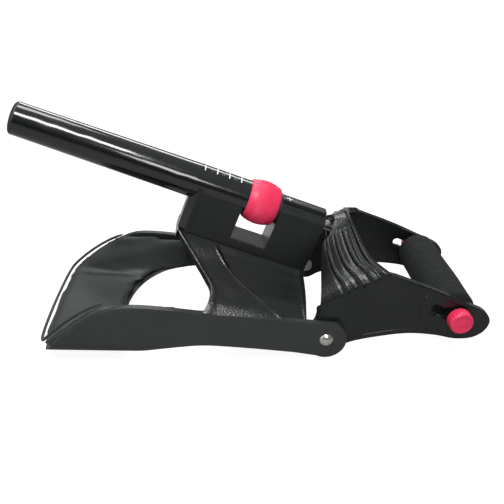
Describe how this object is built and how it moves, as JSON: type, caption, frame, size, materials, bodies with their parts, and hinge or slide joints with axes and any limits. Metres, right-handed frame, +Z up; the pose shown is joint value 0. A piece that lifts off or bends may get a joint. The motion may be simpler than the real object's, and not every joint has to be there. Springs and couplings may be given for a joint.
{
  "type": "wrist and forearm exerciser",
  "caption": "Forearm cradle with pad and arch-mounted spring tube; a hinged hand yoke with foam grip pulls a rod from the tube against an adjustable spring.",
  "frame": {"origin": "middle of the flat underside that the cradle rests on, 170 mm behind and 19 mm below the wrist hinge axis", "axes": "+X towards the hand grip, +Y to the far side, along the wrist hinge axis, +Z up towards the spring tube"},
  "size_m": [0.3475, 0.1398, 0.1824],
  "materials": {
    "cradle_plastic": "matte moulded black-grey plastic",
    "pad_leather": "fine-grained padded black leatherette",
    "arch_plastic": "glossy black plastic with moulded grain",
    "block_plastic": "semi-gloss black plastic",
    "yoke_plastic": "glossy black plastic with moulded grain",
    "tube_black": "gloss black",
    "print_white": "printed white",
    "ring_pink": "satin crimson pink",
    "knob_pink": "satin crimson pink",
    "foam_grey": "closed-cell foam",
    "nickel": "nickel plated",
    "steel": "plain steel",
    "brass": "plain brass",
    "cap_plastic": "matte black plastic"
  },
  "bodies": {
    "cradle": {"cradle_shell": "cradle_plastic", "forearm_pad": "pad_leather", "pad_studs": "cap_plastic", "arch_body": "arch_plastic", "arch_screws": "steel", "rear_saddle": "block_plastic", "front_housing": "block_plastic", "saddle_screws": "steel", "rod_guide_bush": "nickel", "housing_mark": "print_white", "hinge_rivets": "nickel", "hinge_washers": "steel"},
    "yoke": {"yoke_plates": "yoke_plastic", "yoke_hood": "yoke_plastic", "pin_cheeks": "cap_plastic", "hinge_bushes": "brass"},
    "tube": {"spring_tube": "tube_black", "tube_end_plug": "cap_plastic", "tube_scale": "print_white", "front_spring_seat": "steel", "main_spring": "steel"},
    "ring": {"adjust_ring": "ring_pink", "ring_nut_insert": "brass", "ring_thrust_washer": "cap_plastic"},
    "rod": {"pull_rod": "nickel", "rod_cross_pin": "steel", "pin_clips": "steel", "rear_spring_seat": "steel", "rear_lock_nut": "steel"},
    "grip": {"grip_bar": "steel", "foam_grip": "foam_grey", "grip_end_caps": "cap_plastic", "clamp_studs": "steel", "knob_washers": "cap_plastic"},
    "near_knob": {"near_knob": "knob_pink"},
    "far_knob": {"far_knob": "knob_pink"}
  },
  "joints": [
    {"name": "yoke_pivot", "type": "hinge", "parent": "cradle", "child": "yoke", "pos_m": [0.17, 0, 0.019], "axis": [0, 1, 0], "range_deg": [0, 25]},
    {"name": "rod_slide", "type": "slide", "parent": "cradle", "child": "rod", "axis": [0.9311, 0, -0.3649], "range_m": [0, 0.0277], "deforming": ["main_spring"]},
    {"name": "ring_turn", "type": "hinge", "parent": "cradle", "child": "ring", "pos_m": [0.19262, 0, 0.07673], "axis": [0.9311, 0, -0.3649], "range_deg": [0, 1441]},
    {"name": "tube_slide", "type": "slide", "parent": "cradle", "child": "tube", "axis": [-0.9311, 0, 0.3649], "range_m": [0, 0.036]},
    {"name": "grip_slide", "type": "slide", "parent": "yoke", "child": "grip", "axis": [-0.9232, 0, 0.3843], "range_m": [0, 0.0188]},
    {"name": "near_knob_turn", "type": "hinge", "parent": "grip", "child": "near_knob", "pos_m": [0.2684, 0, 0.0322], "axis": [0, 1, 0], "range_deg": [-360, 0]},
    {"name": "far_knob_turn", "type": "hinge", "parent": "grip", "child": "far_knob", "pos_m": [0.2684, 0, 0.0322], "axis": [0, 1, 0], "range_deg": [0, 360]}
  ],
  "couplings": [
    {"joint": "rod_slide", "follows": "yoke_pivot", "m_per_rad": 0.063366},
    {"joint": "ring_turn", "follows": "tube_slide", "rad_per_m": 698.13}
  ]
}
